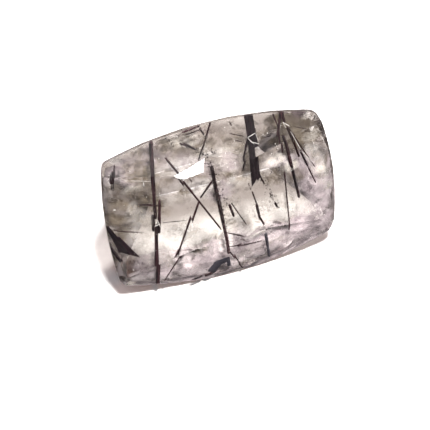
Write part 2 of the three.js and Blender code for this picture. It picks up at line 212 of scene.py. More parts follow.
def rough_block(name):
    deselect()
    bpy.ops.mesh.primitive_circle_add(vertices=len(OUTLINE), radius=5 * MM, fill_type="NGON")
    block = bpy.context.object
    block.name = block.data.name = name
    for vertex, point in zip(block.data.vertices, OUTLINE):
        vertex.co = Vector((point.x, point.y, -ROUGH_BELOW)) * MM
    bpy.ops.object.mode_set(mode="EDIT")
    bpy.ops.mesh.select_all(action="SELECT")
    bpy.ops.mesh.extrude_region_move(
        TRANSFORM_OT_translate={"value": (0, 0, (ROUGH_ABOVE + ROUGH_BELOW) * MM)})
    bpy.ops.mesh.select_all(action="SELECT")
    bpy.ops.mesh.normals_make_consistent(inside=False)
    return block


def cut_facets():
    for normal, point in CROWN + PAVILION:
        bpy.ops.mesh.select_all(action="SELECT")
        bpy.ops.mesh.bisect(plane_co=point * MM, plane_no=normal, use_fill=True,
                            clear_outer=True, threshold=1e-7)
    bpy.ops.mesh.select_all(action="SELECT")
    bpy.ops.mesh.remove_doubles(threshold=0.01 * MM)
    bpy.ops.mesh.normals_make_consistent(inside=False)


quartz = rough_block("clear_quartz")
cut_facets()

# %% [markdown]
# Polishing never leaves a knife edge. Every edge of the crown gets a flat a few hundredths of a
# millimetre wide, which draws a fine light or dark line along it. The short edges of the girdle
# are left alone, because they stand for one smooth curve, and so is the hidden underside.

# %% The facet edges
EDGE_FLAT = 0.022
LEAST_EDGE_ANGLE = 7.0

bpy.ops.mesh.select_mode(type="EDGE")
bpy.ops.mesh.select_all(action="DESELECT")
bpy.ops.mesh.edges_select_sharp(sharpness=radians(LEAST_EDGE_ANGLE))
bpy.ops.object.mode_set(mode="OBJECT")
for edge in quartz.data.edges:
    heights = [quartz.data.vertices[i].co.z / MM for i in edge.vertices]
    edge.select = edge.select and min(heights) > 0
bpy.ops.object.mode_set(mode="EDIT")
bpy.ops.mesh.bevel(offset=EDGE_FLAT * MM, offset_type="OFFSET", segments=1, clamp_overlap=True)
bpy.ops.mesh.select_all(action="SELECT")
bpy.ops.mesh.remove_doubles(threshold=0.004 * MM)
bpy.ops.mesh.normals_make_consistent(inside=False)
bpy.ops.mesh.select_all(action="DESELECT")
bpy.ops.mesh.select_non_manifold()
bpy.ops.object.mode_set(mode="OBJECT")
print("faces:", len(quartz.data.polygons), "open edges:", sum(e.select for e in quartz.data.edges))


def span(points):
    """The lowest and the highest corner of the box around the points."""
    return [Vector([pick_one(p[i] for p in points) for i in range(3)]) for pick_one in (min, max)]


quartz.data.transform(TIP)
low, high = span([v.co for v in quartz.data.vertices])
SHIFT = Vector((-(low.x + high.x) / 2, -(low.y + high.y) / 2, -low.z))
quartz.data.transform(Matrix.Translation(SHIFT))
print("size in mm:", [round(v / MM, 2) for v in high - low])


def in_stone(x, y, z):
    """A place in the stone, in the cutter's millimetres, as a place on the table in metres."""
    return TIP @ (Vector((x, y, z)) * MM) + SHIFT


def is_inside(point, skin):
    """Whether a place in the cutter's millimetres is sealed in, at least skin below the polish."""
    if any(normal.dot(Vector(point) - on) > -skin for normal, on in CROWN + PAVILION):
        return False
    for a, b in zip(OUTLINE, OUTLINE[1:] + OUTLINE[:1]):
        edge = b - a
        if Vector((edge.y, -edge.x)).normalized().dot(Vector(point[:2]) - a) > -skin:
            return False
    return True


# %% [markdown]
# Materials are worked out in the cutter's frame too. A Mapping node turns Object coordinates back
# to millimetres in the stone, so that a cloud or a stripe has its real size, and stays where it is
# in the crystal from whatever side the stone is seen.

# %% Places in a material
def new_material(name):
    material = bpy.data.materials.new(name)
    material.use_nodes = True
    return material, material.node_tree.nodes, material.node_tree.links, \
        material.node_tree.nodes["Principled BSDF"]


def mapped(nodes, links, turn, shift):
    """Object coordinates in millimetres, turned and then shifted."""
    place = nodes.new("ShaderNodeTexCoord")
    mapping = nodes.new("ShaderNodeMapping")
    mapping.inputs["Scale"].default_value = (1 / MM, 1 / MM, 1 / MM)
    mapping.inputs["Rotation"].default_value = turn
    mapping.inputs["Location"].default_value = shift
    links.new(place.outputs["Object"], mapping.inputs["Vector"])
    return mapping.outputs["Vector"]


def stone_coordinates(nodes, links):
    return mapped(nodes, links, (radians(-REST_SLOPE), 0, 0), TIP.inverted() @ (-SHIFT / MM))


print("the cutter's origin on the table, in mm:", [round(v, 2) for v in SHIFT / MM])

# %% [markdown]
# A material is a net of nodes. Most of what is worked out here is arithmetic with masks, so each
# kind of step gets a short helper that makes one node, fills its sockets and hands on its output.

# %% Node helpers
def new_group(name, inputs, outputs):
    """An empty shader group; inputs and outputs are (socket name, kind, value) rows."""
    group = bpy.data.node_groups.new(name, "ShaderNodeTree")
    for rows, way in ((inputs, "INPUT"), (outputs, "OUTPUT")):
        for label, kind, value in rows:
            socket = group.interface.new_socket(
                name=label, in_out=way, socket_type="NodeSocket" + kind)
            if value is not None:
                socket.default_value = value
    return group, group.nodes.new("NodeGroupInput"), group.nodes.new("NodeGroupOutput")


def feed(tree, socket, value):
    """Puts a number, a colour or another node's output into a socket."""
    if isinstance(value, bpy.types.NodeSocket):
        tree.links.new(value, socket)
    elif isinstance(value, tuple):
        socket.default_value = (*value, 1)
    else:
        socket.default_value = value


def calculated(tree, operation, *values, clamp=False):
    """A Math node."""
    step = tree.nodes.new("ShaderNodeMath")
    step.operation = operation
    step.use_clamp = clamp
    for socket, value in zip(step.inputs, values):
        feed(tree, socket, value)
    return step.outputs[0]


def weighted(tree, mask, weight):
    return calculated(tree, "MULTIPLY", mask, weight)


def blended(tree, share, a, b):
    """A colour mix, from a where the share is 0 to b where it is 1."""
    mix = tree.nodes.new("ShaderNodeMix")
    mix.data_type = "RGBA"
    for socket, value in ((mix.inputs["Factor"], share), (mix.inputs[6], a), (mix.inputs[7], b)):
        feed(tree, socket, value)
    return mix.outputs[2]


def eased(tree, value, low, high, start=0.0, end=1.0, kind="SMOOTHSTEP"):
    """A Map Range node: start up to low, end from high on, and a smooth step between them."""
    ease = tree.nodes.new("ShaderNodeMapRange")
    ease.interpolation_type = kind
    for label, given in (("Value", value), ("From Min", low), ("From Max", high),
                         ("To Min", start), ("To Max", end)):
        feed(tree, ease.inputs[label], given)
    return ease.outputs["Result"]


def use_group(tree, group, **values):
    step = tree.nodes.new("ShaderNodeGroup")
    step.node_tree = group
    for label, value in values.items():
        feed(tree, step.inputs[label], value)
    return step.outputs


# %% [markdown]
# Natural quartz is never quite even. Two effects come back in every part of the stone, so each is
# a node group: soft clouds, which are thresholded noise, and fine grain, which is thresholded
# cells. Low and High set how much of the surface a cloud covers and how soft its edge is.

# %% Clouds and grain
CLOUD_ROUGHNESS = 0.6
GRAIN_EDGE = 12.0


def noise_value(tree, vector, scale, detail, roughness=0.5):
    texture = tree.nodes.new("ShaderNodeTexNoise")
    for label, value in (("Vector", vector), ("Scale", scale), ("Detail", detail),
                         ("Roughness", roughness)):
        feed(tree, texture.inputs[label], value)
    return texture.outputs["Fac"]


def cloud_group():
    group, given, result = new_group(
        "cloud",
        [("Vector", "Vector", None), ("Scale", "Float", 1.0), ("Detail", "Float", 3.0),
         ("Low", "Float", 0.4), ("High", "Float", 0.6)],
        [("Mask", "Float", None)])
    vector, scale, detail, low, high = list(given.outputs)[:5]
    value = noise_value(group, vector, scale, detail, CLOUD_ROUGHNESS)
    group.links.new(eased(group, value, low, high), result.inputs["Mask"])
    return group


def grain_group():
    group, given, result = new_group(
        "grain",
        [("Vector", "Vector", None), ("Scale", "Float", 8.0), ("Size", "Float", 0.3)],
        [("Mask", "Float", None)])
    cells = group.nodes.new("ShaderNodeTexVoronoi")
    group.links.new(given.outputs["Vector"], cells.inputs["Vector"])
    group.links.new(given.outputs["Scale"], cells.inputs["Scale"])
    near = calculated(group, "SUBTRACT", given.outputs["Size"], cells.outputs["Distance"])
    mask = calculated(group, "MULTIPLY", near, GRAIN_EDGE, clamp=True)
    group.links.new(mask, result.inputs["Mask"])
    return group


def cloud_mask(tree, vector, scale, detail, low, high):
    return use_group(tree, CLOUD, Vector=vector, Scale=scale, Detail=detail,
                     Low=low, High=high)["Mask"]


CLOUD, GRAIN = cloud_group(), grain_group()
print("node groups:", CLOUD.name, GRAIN.name)

# %% [markdown]
# Here and there the stone is nearly clean, and the lit paper shines through it as a bright patch.
# Such a clear pool is an ellipsoid, told by how far a place is from its middle, counted in half
# sizes. The clouds and the veils are thinned in it.

# %% Clear pools
CLEAR_POOLS = [  # centre and half sizes in the cutter's millimetres
    ((-2.6, -1.6, -2.0), (3.5, 2.6, 4.5)),
    ((3.7, -1.5, -2.0), (3.5, 1.8, 4.5)),
    ((5.0, 2.0, 0.0), (2.0, 0.6, 3.0)),
    ((-6.0, -1.8, -2.5), (2.2, 3.0, 3.5)),
]


def pool_mask(tree, vector, centre, half_sizes, ease_start=0.45, ease_end=1.25):
    """1 inside an ellipsoid and 0 outside; it eases between two shares of the half sizes."""
    mapping = tree.nodes.new("ShaderNodeMapping")
    mapping.inputs["Location"].default_value = tuple(-c / h for c, h in zip(centre, half_sizes))
    mapping.inputs["Scale"].default_value = tuple(1 / h for h in half_sizes)
    tree.links.new(vector, mapping.inputs["Vector"])
    reach = tree.nodes.new("ShaderNodeVectorMath")
    reach.operation = "LENGTH"
    tree.links.new(mapping.outputs["Vector"], reach.inputs[0])
    return eased(tree, reach.outputs["Value"], ease_start, ease_end, 1.0, 0.0)


def outside_pools(tree, vector, mask, cleared):
    """Thins a mask in the clear pools; cleared is the share that goes."""
    for pool in CLEAR_POOLS:
        gone = weighted(tree, pool_mask(tree, vector, *pool), cleared)
        mask = weighted(tree, mask, calculated(tree, "SUBTRACT", 1.0, gone))
    return mask


print("clear pools:", len(CLEAR_POOLS))

# %% [markdown]
# Polished quartz is glass with an index of 1.544. Its faint smoke is plain absorption, which grows
# with the length of the light's way. The underside is less well polished than the crown, and it
# carries the brown and lilac clouds that are seen down through the stone. The girdle is left
# frosted. All of it is told from the height in the stone, so one material does, and a ray that
# enters by one face may leave by any other.
#
# Lamps reach the paper and the needles through the stone by a Light Path switch: a shadow ray
# meets a tinted Transparent shader, so the light in the stone is free of noise. On the real stone
# the facets bend light away from the rim and gather it under the middle. The tint stands in for
# that. The crown lets all light pass. The underside holds much of it back outside one soft
# ellipsoid, which shades the paper at the left, and its front rim holds back nearly all of it.

# %% Quartz material
QUARTZ_INDEX = 1.544
CLOUD_SIZES = [  # scale, detail, low, high and weight of the broad, the fine and the dusty clouds
    (0.42, 4.0, 0.36, 0.62, 0.55), (1.9, 5.0, 0.38, 0.66, 0.50), (7.0, 3.0, 0.45, 0.75, 0.35)]
TINT_SIZE = 0.30, 2.0, 0.42, 0.58
POOLS_CLEARED = 0.98
LEAST_WEAR, CLOUDED_WEAR, FROST = 0.03, 0.09, 0.55
POLISHED = (0.985, 0.975, 0.965)
BROWN_CLOUD = (0.33, 0.27, 0.21)
LILAC_CLOUD = (0.50, 0.44, 0.46)
SMOKE = (0.66, 0.58, 0.52)
SMOKE_DENSITY = 26.0
# Two ellipsoids, with the shares of their half sizes between which each eases out
RIM_CLEAR = (1.8, 3.0, 0.0), (12.8, 9.2, 12.0), 0.90, 1.00  # outside it, the front rim shades
RIM_SHADOW = (0.035, 0.010, 0.0)
BELOW_CLEAR = (0.3, -1.9, -2.5), (8.5, 4.6, 7.2), 0.50, 1.10  # outside it, the underside shades
BELOW_SHADOW = (0.33, 0.300, 0.285)


def quartz_material():
    material, nodes, links, shader = new_material("clear_quartz_polished")
    tree = material.node_tree
    vector = stone_coordinates(nodes, links)
    apart = nodes.new("ShaderNodeSeparateXYZ")
    links.new(vector, apart.inputs[0])
    height = apart.outputs["Z"]
    underside = calculated(tree, "LESS_THAN", height, -GIRDLE_TOP)
    frosted = calculated(tree, "LESS_THAN", calculated(tree, "ABSOLUTE", height), GIRDLE_TOP)

    broad, fine, dusty = [cloud_mask(tree, vector, *size[:4]) for size in CLOUD_SIZES]
    broad_part, fine_part, dusty_part = [
        weighted(tree, mask, size[4]) for mask, size in zip((broad, fine, dusty), CLOUD_SIZES)]
    clouds = calculated(tree, "ADD", calculated(tree, "ADD", broad_part, fine_part), dusty_part,
                        clamp=True)
    clouds = outside_pools(tree, vector, clouds, POOLS_CLEARED)
    tint = cloud_mask(tree, vector, *TINT_SIZE)
    cloud_colour = blended(tree, tint, BROWN_CLOUD, LILAC_CLOUD)
    colour = blended(tree, weighted(tree, clouds, underside), POLISHED, cloud_colour)
    links.new(colour, shader.inputs["Base Color"])

    wear = calculated(tree, "ADD", LEAST_WEAR, weighted(tree, fine, CLOUDED_WEAR))
    matt = calculated(tree, "ADD", weighted(tree, underside, wear), weighted(tree, frosted, FROST))
    links.new(matt, shader.inputs["Roughness"])
    shader.inputs["IOR"].default_value = QUARTZ_INDEX
    shader.inputs["Transmission Weight"].default_value = 1.0
    absorb = nodes.new("ShaderNodeVolumeAbsorption")
    absorb.inputs["Color"].default_value = (*SMOKE, 1)
    absorb.inputs["Density"].default_value = SMOKE_DENSITY
    links.new(absorb.outputs["Volume"], nodes["Material Output"].inputs["Volume"])

    passed = nodes.new("ShaderNodeBsdfTransparent")
    body_shadow = blended(tree, pool_mask(tree, vector, *BELOW_CLEAR), BELOW_SHADOW, POLISHED)
    shadow_below = blended(tree, pool_mask(tree, vector, *RIM_CLEAR), RIM_SHADOW, body_shadow)
    links.new(blended(tree, underside, POLISHED, shadow_below), passed.inputs["Color"])
    path = nodes.new("ShaderNodeLightPath")
    either = nodes.new("ShaderNodeMixShader")
    links.new(path.outputs["Is Shadow Ray"], either.inputs["Fac"])
    links.new(shader.outputs["BSDF"], either.inputs[1])
    links.new(passed.outputs["BSDF"], either.inputs[2])
    links.new(either.outputs["Shader"], nodes["Material Output"].inputs["Surface"])
    return material


quartz.data.materials.append(quartz_material())
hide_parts("quartz_crown_half", "quartz_pavilion_half")
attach(quartz, "root")
print("quartz material nodes:", len(quartz.data.materials[0].node_tree.nodes))

# %% [markdown]
# The needles are six-sided crystals with grooves along them, and pale cracks run across the more
# broken ones. Grooves are noise that is squeezed across the needle and stretched along it. Cracks
# are the peaks of a finer noise, and a more broken needle shows more of them.

# %% Grooves and cracks
SOUND_LEVEL, BROKEN_SHARE = 0.72, 0.25  # noise above which a crack shows, and how far it sinks
CRACK_EDGE = 14.0


def groove_group():
    group, given, result = new_group(
        "grooves",
        [("Vector", "Vector", None), ("Across", "Float", 9.0), ("Along", "Float", 0.5),
         ("Broken", "Float", 0.3)],
        [("Grooves", "Float", None), ("Cracks", "Float", None)])
    stretched = group.nodes.new("ShaderNodeCombineXYZ")
    for axis, label in (("X", "Across"), ("Y", "Across"), ("Z", "Along")):
        group.links.new(given.outputs[label], stretched.inputs[axis])
    scaled = group.nodes.new("ShaderNodeVectorMath")
    scaled.operation = "MULTIPLY"
    group.links.new(given.outputs["Vector"], scaled.inputs[0])
    group.links.new(stretched.outputs[0], scaled.inputs[1])
    group.links.new(noise_value(group, scaled.outputs[0], 1.0, 3.0), result.inputs["Grooves"])
    chips = noise_value(group, given.outputs["Vector"], 5.0, 4.0, 0.7)
    lower = weighted(group, given.outputs["Broken"], BROKEN_SHARE)
    least = calculated(group, "SUBTRACT", SOUND_LEVEL, lower)
    over = calculated(group, "SUBTRACT", chips, least)
    cracks = calculated(group, "MULTIPLY", over, CRACK_EDGE, clamp=True)
    group.links.new(cracks, result.inputs["Cracks"])
    return group


GROOVES = groove_group()
print("node group:", GROOVES.name)

# %% [markdown]
# The needles are near black, with a purple brown where light gets into an edge. The grooves have to
# follow each needle, so its direction is measured from its own mesh, and a Mapping node turns that
# direction to Z.

# %% Needle material
def long_axis(thing):
    """The direction between the two places of a mesh that lie farthest apart."""
    points = [v.co for v in thing.data.vertices]
    middle = sum(points, Vector()) / len(points)
    one_end = max(points, key=lambda p: (p - middle).length)
    other_end = max(points, key=lambda p: (p - one_end).length)
    return (one_end - other_end).normalized()


RIDGES = 0.38, 0.66  # the noise values between which a groove turns into a ridge
NEEDLE_ROUGHNESS, RIDGE_ROUGHNESS = 0.22, 0.30
NEEDLE_SHINE = 0.25
GROOVE_STRENGTH, GROOVE_DEPTH = 0.6, 0.02


def needle_material(name, thing, dark, edge, crack, broken):
    material, nodes, links, shader = new_material(name)
    tree = material.node_tree
    turn = long_axis(thing).rotation_difference(Vector((0, 0, 1))).to_euler()
    vector = mapped(nodes, links, turn, (0, 0, 0))
    marks = use_group(tree, GROOVES, Vector=vector, Broken=broken)
    ridge = eased(tree, marks["Grooves"], *RIDGES, kind="LINEAR")
    body = blended(tree, ridge, dark, edge)
    links.new(blended(tree, marks["Cracks"], body, crack), shader.inputs["Base Color"])
    rough = calculated(tree, "ADD", NEEDLE_ROUGHNESS,
                       weighted(tree, marks["Grooves"], RIDGE_ROUGHNESS))
    links.new(rough, shader.inputs["Roughness"])
    shader.inputs["Specular IOR Level"].default_value = NEEDLE_SHINE
    bump = nodes.new("ShaderNodeBump")
    bump.inputs["Strength"].default_value = GROOVE_STRENGTH
    bump.inputs["Distance"].default_value = GROOVE_DEPTH * MM
    links.new(marks["Grooves"], bump.inputs["Height"])
    links.new(bump.outputs["Normal"], shader.inputs["Normal"])
    return material


print("a needle's roughness, up to:", NEEDLE_ROUGHNESS + RIDGE_ROUGHNESS)

# %% [markdown]
# Every needle of the frame is dressed in the finish of its slot. The blade, the wedge and the stub
# at the left end are too thick for light to brown them, so they get a blacker one.

# %% Dressing the needles
FINISHES = {  # colours of the dark grooves, of the lighter ridges and of a crack
    "black_needle": ((0.0030, 0.0012, 0.0018), (0.056, 0.022, 0.027), (0.18, 0.13, 0.13)),
    "thick_black": ((0.0012, 0.0006, 0.0012), (0.018, 0.008, 0.012), (0.16, 0.12, 0.12)),
    "brown_needle": ((0.006, 0.002, 0.0015), (0.032, 0.010, 0.007), (0.14, 0.10, 0.08)),
    "grey_crystal": ((0.018, 0.018, 0.026), (0.060, 0.055, 0.070), (0.24, 0.23, 0.25)),
}
BROKEN = {  # how cracked a needle looks, where it is more or less than usual
    "central_needle": 0.75, "broken_needle_upper": 0.55, "broken_needle_lower": 0.6,
    "black_blade": 0.12, "right_thick_needle": 0.15, "left_black_crystal": 0.12,
    "dusty_needle": 0.8, "back_edge_needle": 0.7, "front_edge_crystal": 0.35,
}
USUALLY_BROKEN = 0.32
THICK = ("black_blade", "left_black_crystal", "left_dark_stub")
dressed = 0
for entry in frame["record"]["subparts"]:
    name, slot = entry["node"], entry["material_slot"]
    if slot in FINISHES:
        node = frame["nodes"][name]
        finish = FINISHES["thick_black" if name in THICK else slot]
        broken = BROKEN.get(name, USUALLY_BROKEN)
        node.data.materials.clear()
        node.data.materials.append(needle_material(slot + "_" + name, node, *finish, broken))
        dressed += 1
print("needles dressed:", dressed)

# %% [markdown]
# Cracks that healed while the crystal grew hang in it as thin veils. They are what makes the
# inside of the stone look smoky and mottled. There are four kinds. Brown ones lie at the back and
# the left, and lilac ones at the right and the front. Cream ones are painted highlights: pale
# sheets that make the bright lens beside the blade and other light spots. Pearly ones are denser
# pale sheets at the front, painted light where clear quartz would mirror the stone's dark inside.
# Some veils are set one by one, and smaller shreds are strewn through boxes. A row of shreds
# hides the keel of the underside.

# %% Where the veils hang
VEILS = {  # middle and half sizes in the cutter's millimetres, tilt about X and Y, and bend
    "brown_veils": [
        ((-7.6, 1.4, -0.9), (1.3, 2.6), (-12, -20), 0.35),
        ((-5.6, 2, -1.2), (1.5, 2.2), (10, 8), 0.3),
        ((-1.4, 4.2, -0.8), (2.2, 1.3), (-15, 4), 0.3),
        ((1.6, 3.6, -1), (2, 2), (-8, -6), 0.35),
        ((4.4, 0.9, -1.1), (1.7, 1.4), (12, 0), 0.3),
        ((6.4, 3.3, -0.9), (1.7, 1.3), (-14, 12), 0.25),
        ((-4.4, 1.4, -1.7), (1.6, 1.2), (4, -6), 0.3),
        ((-6.9, -3.3, -0.9), (1.6, 1.3), (14, -10), 0.25),
        ((-5.4, 3.7, -0.7), (1.9, 0.9), (-12, -4), 0.2),
        ((-4, 3.9, -0.9), (1.9, 0.9), (-10, 4), 0.2),
        ((-5.6, 3.5, -0.8), (1.9, 0.7), (-10, -4), 0.1),
    ],
    "lilac_veils": [
        ((7.2, -1.2, -0.7), (1.2, 2.8), (-6, 24), 0.3),
        ((4.6, -4, -0.9), (3.2, 1.1), (12, 0), 0.25),
        ((-3.2, 4.4, -1), (2.8, 1.2), (-12, -6), 0.25),
        ((0.2, 1.2, -0.9), (1.2, 2.2), (-6, 14), 0.3),
        ((-1.6, -4.3, -0.6), (1.7, 0.8), (10, 0), 0.15),
        ((4.2, -4.1, -0.5), (2.8, 0.9), (8, 4), 0.15),
        ((1, -4.5, -0.5), (2, 0.7), (12, 0), 0.15),
        ((-6.4, -3.8, -0.5), (1.6, 1), (10, -10), 0.15),
        ((-4.6, -4.6, -0.8), (2.8, 1), (16, 4), 0.25),
    ],
    # cream veils are painted highlights: the bright lens beside the blade and light spots over the
    # clear pools
    "cream_painted_highlight_veils": [
        ((4.6, 2.25, 0.3), (1.1, 0.5), (-8, 4), 0.06),
        ((4.5, 2.15, 0.15), (1.1, 0.6), (-4, 8), 0.06),
        ((4.7, 2.05, 0), (1.1, 0.55), (-6, 4), 0.06),
        ((5.8, 1.4, 0.2), (0.8, 0.5), (-6, 12), 0.06),
        ((5.7, 1.3, 0.05), (0.9, 0.55), (-2, 8), 0.06),
        ((-3.2, -1.8, -0.6), (1.9, 1.4), (4, -4), 0.2),
        ((3.7, -1.5, -0.6), (2.6, 1), (2, 6), 0.2),
        ((1.4, 2.6, -0.8), (1.3, 0.9), (-6, -4), 0.2),
        ((7.6, 1.2, -0.5), (0.8, 1.8), (0, 20), 0.2),
        ((-6.4, -0.8, -0.5), (1.3, 2.2), (0, -12), 0.2),
        ((-4.9, -3.6, -0.6), (2.4, 0.9), (12, -4), 0.2),
        ((2.6, -4.4, -0.4), (2.6, 0.8), (12, 2), 0.2),
        ((-1.6, 5, -0.3), (1.8, 0.6), (-20, 0), 0.15),
    ],
    # pearly veils are painted light: dense pale sheets that brighten the front rim and part of the
    # lens
    "pearly_painted_light_veils": [
        ((1.6, -4.3, -1), (3.6, 0.9), (8, 2), 0.15),
        ((-2.4, -4.5, -1), (2.4, 0.9), (10, -2), 0.15),
        ((-1.7, -3.9, -0.8), (2.2, 0.8), (6, 2), 0.15),
        ((1.4, -4, -0.8), (1.8, 0.7), (6, 0), 0.15),
        ((-6, -3.7, -0.9), (1.8, 1.1), (8, -8), 0.15),
        ((5.2, -3.9, -0.9), (2.4, 0.9), (6, 4), 0.15),
        ((5, 1.95, 0.25), (1.5, 0.5), (-6, 8), 0.05),
        ((-6.5, -4.55, -0.5), (2, 0.5), (10, -6), 0.1),
        ((-4.2, -5, -0.5), (2.2, 0.5), (10, -2), 0.1),
        ((-1.4, -5.4, -0.5), (2, 0.4), (10, 0), 0.1),
    ],
}
SHREDS = {  # middle and half sizes of the box that small veils fill, and how many there are
    "brown_veils": [
        ((-6.9, 0.8, -1.1), (1.9, 3.6, 0.7), 18), ((0.4, 3.9, -1.1), (3.6, 1.7, 0.6), 24),
        ((6.6, 3.4, -0.9), (2, 1.7, 0.6), 20), ((5.2, 4.6, -0.7), (1.8, 0.7, 0.4), 14),
        ((-2, 4.9, -0.8), (2.6, 0.8, 0.4), 18), ((-2.2, 5, -0.3), (2.2, 0.7, 0.3), 14),
        ((-3.8, 4.4, -1), (2.6, 1.2, 0.5), 26), ((4.4, 1, -1.6), (2.6, 1.3, 0.6), 20),
        ((-1.6, 2, -1.6), (2.6, 1.3, 0.7), 16), ((-0.3, -2.6, -1.6), (1.2, 1.6, 0.7), 8),
        ((-1.4, -3, -1), (1.2, 0.5, 0.4), 8), ((7.6, 3.6, -0.3), (0.8, 0.7, 0.3), 8),
        ((-4.9, 0.7, -0.8), (0.9, 0.6, 0.5), 7), ((-6.1, -1, -0.8), (0.6, 1.3, 0.5), 8),
        ((-5.7, -2.7, -0.8), (0.8, 0.5, 0.4), 5), ((-0.2, 1.5, -1.2), (4.2, 0.4, 0.4), 16),
    ],
    "lilac_veils": [
        ((7.4, -0.9, -0.6), (1.4, 3.6, 0.8), 30), ((4.2, -4.2, -0.7), (3.8, 1.3, 0.6), 22),
        ((-4.6, -4.3, -0.9), (3.2, 1.4, 0.6), 14), ((-3.4, 4.2, -0.9), (3.6, 1.5, 0.6), 16),
        ((0.8, 1.3, -1.1), (1.3, 2, 0.5), 10), ((1.4, -4.3, -0.6), (4.4, 0.8, 0.35), 30),
        ((-5.8, -3.8, -0.6), (1.6, 0.9, 0.3), 12), ((-5.9, 3.8, -0.9), (1.6, 0.5, 0.25), 12),
        ((4.6, -3.3, -0.4), (2.8, 0.5, 0.25), 14), ((6.6, 0.5, -0.8), (0.5, 1.4, 0.4), 8),
        ((7.1, -1.2, -0.8), (0.7, 0.8, 0.4), 6),
    ],
    # cream shreds: more painted highlight spots
    "cream_painted_highlight_veils": [
        ((3.6, -1.6, -1.2), (3, 1.4, 0.8), 5), ((-2.6, -5, -0.9), (3, 0.8, 0.4), 5),
        ((7.8, 1, -0.6), (0.8, 2.6, 0.5), 6), ((-6.8, 1.2, -0.7), (1.2, 1.6, 0.4), 5),
    ],
    # pearly shreds: more painted light along the front rim
    "pearly_painted_light_veils": [
        ((0.5, -4.4, -0.9), (6.5, 0.8, 0.3), 16), ((0, -3.4, -0.5), (4.6, 0.35, 0.15), 14),
    ],
}
print("veils set one by one:", sum(len(rows) for rows in VEILS.values()))

# %% [markdown]
# A veil is a grid, bent by noise, with a ragged rim, and Solidify gives it two sides. A point that
# would leave the stone is drawn back towards the veil's middle. Each point keeps how near the rim
# it is, so that the material can fade out there.

# %% One veil
VEIL_STEPS = 22
SHRED_STEPS = 9
VEIL_THICKNESS = 0.006
VEIL_SKIN = 0.16
RAGGED, TATTER_SCALE = 0.35, 1.5
BEND_SCALE, BEND_SEED = 0.6, 50
DRAWN_BACK, LEAST_OFFSET = 0.94, 0.05


def veil(middle, half_sizes, tilt, bend, seed, steps=VEIL_STEPS):
    deselect()
    bpy.ops.mesh.primitive_grid_add(x_subdivisions=steps, y_subdivisions=steps, size=2)
    sheet = bpy.context.object
    turn = Matrix.Rotation(radians(tilt[0]), 3, "X") @ Matrix.Rotation(radians(tilt[1]), 3, "Y")
    rim = sheet.data.attributes.new("rim", "FLOAT", "POINT")
    for index, vertex in enumerate(sheet.data.vertices):
        x, y = vertex.co.x, vertex.co.y
        round_x, round_y = x * (1 - y * y / 2) ** 0.5, y * (1 - x * x / 2) ** 0.5
        rim.data[index].value = min(1.0, (round_x ** 2 + round_y ** 2) ** 0.5)
        tatter = Vector((round_x * TATTER_SCALE, round_y * TATTER_SCALE, seed))
        ragged = 1 + RAGGED * noise.noise(tatter)
        flat = Vector((round_x * half_sizes[0], round_y * half_sizes[1], 0)) * ragged
        wave = Vector((flat.x * BEND_SCALE, flat.y * BEND_SCALE, seed + BEND_SEED))
        offset = turn @ Vector((flat.x, flat.y, bend * noise.noise(wave)))
        place = Vector(middle) + offset
        while not is_inside(place, VEIL_SKIN) and offset.length > LEAST_OFFSET:
            offset *= DRAWN_BACK
            place = Vector(middle) + offset
        vertex.co = in_stone(*place)
    shell = sheet.modifiers.new("thickness", "SOLIDIFY")
    shell.thickness = VEIL_THICKNESS * MM
    bpy.ops.object.modifier_apply(modifier=shell.name)
    return sheet


def join(pieces, name):
    pick(*pieces)
    if len(pieces) > 1:
        bpy.ops.object.join()
    whole = bpy.context.object
    whole.name = whole.data.name = name
    return whole


print("squares across a veil:", VEIL_STEPS, "and a shred:", SHRED_STEPS)

# %% [markdown]
# A veil is seen by its colour and by how much it covers. Cover comes in broad patches, fine wisps
# and specks, fades towards the ragged rim, and is thin where a clear pool lies.

# %% Veil finishes
RIM_FADE = 0.45, 1.0  # the shares of a veil's half size between which it fades out
PATCHES, WISPS = (0.95, 5.0, 0.36, 0.64), (3.2, 5.0, 0.35, 0.70)
PATCH_WEIGHT, WISP_WEIGHT, SPECK_WEIGHT = 0.65, 0.45, 0.25
SPECK_SCALE, SPECK_SIZE = 7.0, 0.20
VEIL_ROUGHNESS = 0.55


def veil_material(name, pale, dark, cover, parted):
    material, nodes, links, shader = new_material(name)
    tree = material.node_tree
    vector = stone_coordinates(nodes, links)
    rim = nodes.new("ShaderNodeAttribute")
    rim.attribute_name = "rim"
    fading = eased(tree, rim.outputs["Fac"], *RIM_FADE, 1.0, 0.0)
    patches = cloud_mask(tree, vector, *PATCHES)
    wisps = cloud_mask(tree, vector, *WISPS)
    specks = use_group(tree, GRAIN, Vector=vector, Scale=SPECK_SCALE, Size=SPECK_SIZE)["Mask"]
    links.new(blended(tree, wisps, pale, dark), shader.inputs["Base Color"])
    body = calculated(tree, "ADD", weighted(tree, patches, PATCH_WEIGHT),
                      weighted(tree, wisps, WISP_WEIGHT))
    dotted = calculated(tree, "ADD", body, weighted(tree, specks, SPECK_WEIGHT))
    faded = outside_pools(tree, vector, weighted(tree, dotted, fading), parted)
    links.new(calculated(tree, "MULTIPLY", faded, cover, clamp=True), shader.inputs["Alpha"])
    shader.inputs["Roughness"].default_value = VEIL_ROUGHNESS
    return material


